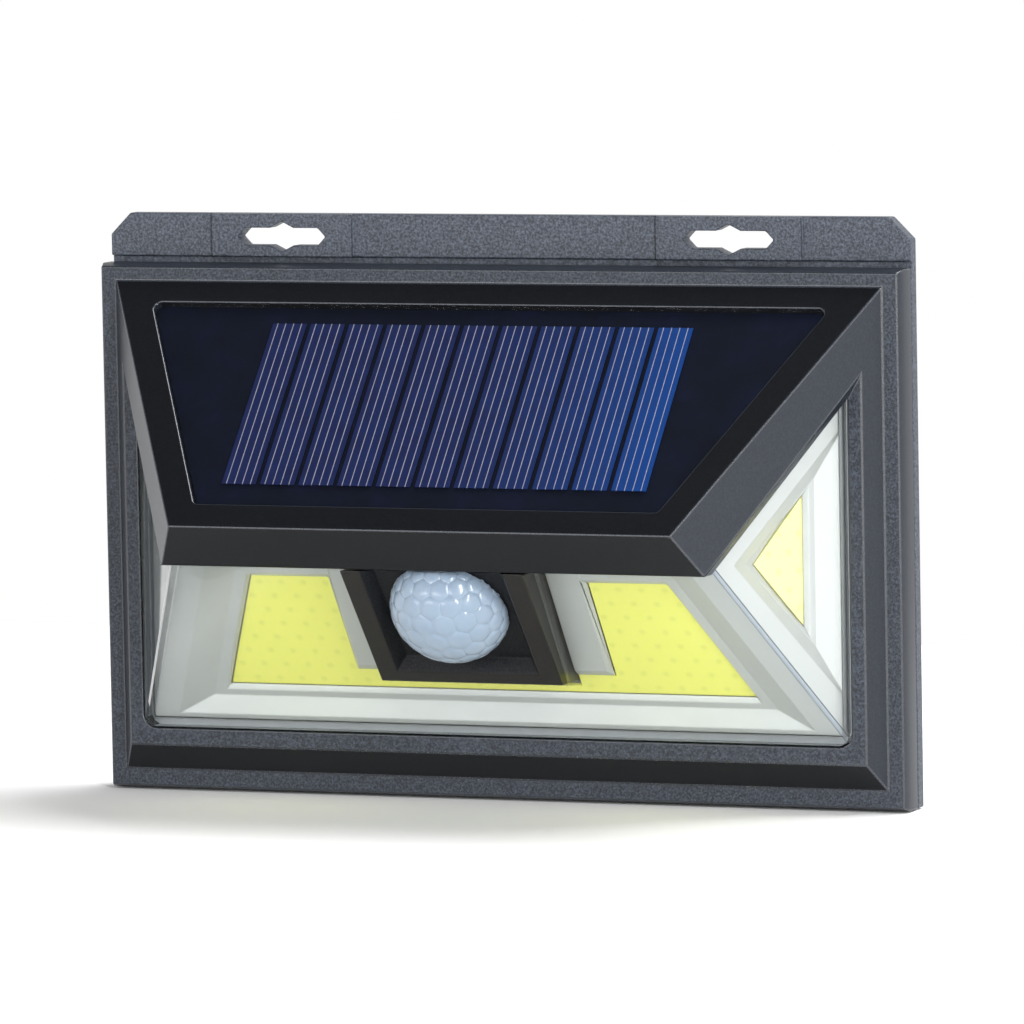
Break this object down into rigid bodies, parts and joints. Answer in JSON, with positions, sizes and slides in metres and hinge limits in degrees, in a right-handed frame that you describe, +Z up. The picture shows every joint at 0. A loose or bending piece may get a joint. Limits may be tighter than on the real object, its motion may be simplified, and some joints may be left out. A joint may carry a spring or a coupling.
{
  "type": "solar flood light",
  "caption": "Wall-hung solar flood light with a hip-roof body, a solar panel on top, a clear lens over LED areas, a motion sensor dome and hanging slots.",
  "frame": {"origin": "middle of the flat back face of the rear cover, level with the body's mid-height", "axes": "+Z up, -Y forward out of the front, +Y into the wall, +X to the right as seen from the front"},
  "size_m": [0.1862, 0.056, 0.1264],
  "materials": {
    "textured_abs": "satin texture",
    "smooth_abs": "satin",
    "clear_pc": "clear polished",
    "silver_plating": "satin plated",
    "phosphor": "silicone with phosphor",
    "board_white": "white solder mask",
    "board_green": "solder mask",
    "milky_pe": "milky",
    "cell_blue": "dark blue silicon",
    "panel_sheet": "clear coated",
    "rubber_black": "matte",
    "steel": "plated",
    "battery_wrap": "film wrapped",
    "lead_red": "satin",
    "lead_black": "satin",
    "nylon_white": "satin"
  },
  "bodies": {
    "body": {"battery_cell": "battery_wrap", "battery_connector": "nylon_white", "battery_contact_left": "steel", "battery_contact_right": "steel", "battery_holder": "nylon_white", "battery_lead_black": "lead_black", "battery_lead_red": "lead_red", "board_screw_left": "steel", "board_screw_right": "steel", "clear_lens": "clear_pc", "control_board": "board_green", "driver_capacitor": "rubber_black", "driver_chip": "rubber_black", "driver_inductor": "steel", "front_housing": "smooth_abs", "led_board_left": "board_white", "led_board_low": "board_white", "led_board_right": "board_white", "led_lead_left": "lead_black", "led_lead_low": "lead_red", "led_lead_right": "lead_red", "led_phosphor_left": "phosphor", "led_phosphor_low": "phosphor", "led_phosphor_right": "phosphor", "rear_cover": "textured_abs", "rear_gasket": "rubber_black", "rear_screw_1": "steel", "rear_screw_2": "steel", "rear_screw_3": "steel", "rear_screw_4": "steel", "rear_screw_5": "steel", "rear_screw_6": "steel", "rear_screw_7": "steel", "rear_screw_8": "steel", "reflector": "silver_plating", "sensor_board": "board_green", "sensor_can": "steel", "sensor_dome": "milky_pe", "sensor_housing": "smooth_abs", "sensor_lead": "lead_black", "solar_backing": "board_green", "solar_cell_01": "cell_blue", "solar_cell_02": "cell_blue", "solar_cell_03": "cell_blue", "solar_cell_04": "cell_blue", "solar_cell_05": "cell_blue", "solar_cell_06": "cell_blue", "solar_cell_07": "cell_blue", "solar_cell_08": "cell_blue", "solar_cell_09": "cell_blue", "solar_cell_10": "cell_blue", "solar_cell_11": "cell_blue", "solar_connector": "nylon_white", "solar_cover_sheet": "panel_sheet", "solar_lead": "lead_red", "switch_body": "nylon_white"},
    "button": {"mode_button": "rubber_black", "switch_plunger": "nylon_white"}
  },
  "joints": [
    {"name": "mode_button_press", "type": "slide", "parent": "body", "child": "button", "axis": [0, -1, 0], "range_m": [0, 0.0006], "stiffness_N_per_m": 600, "springref_m": -0.0006}
  ]
}
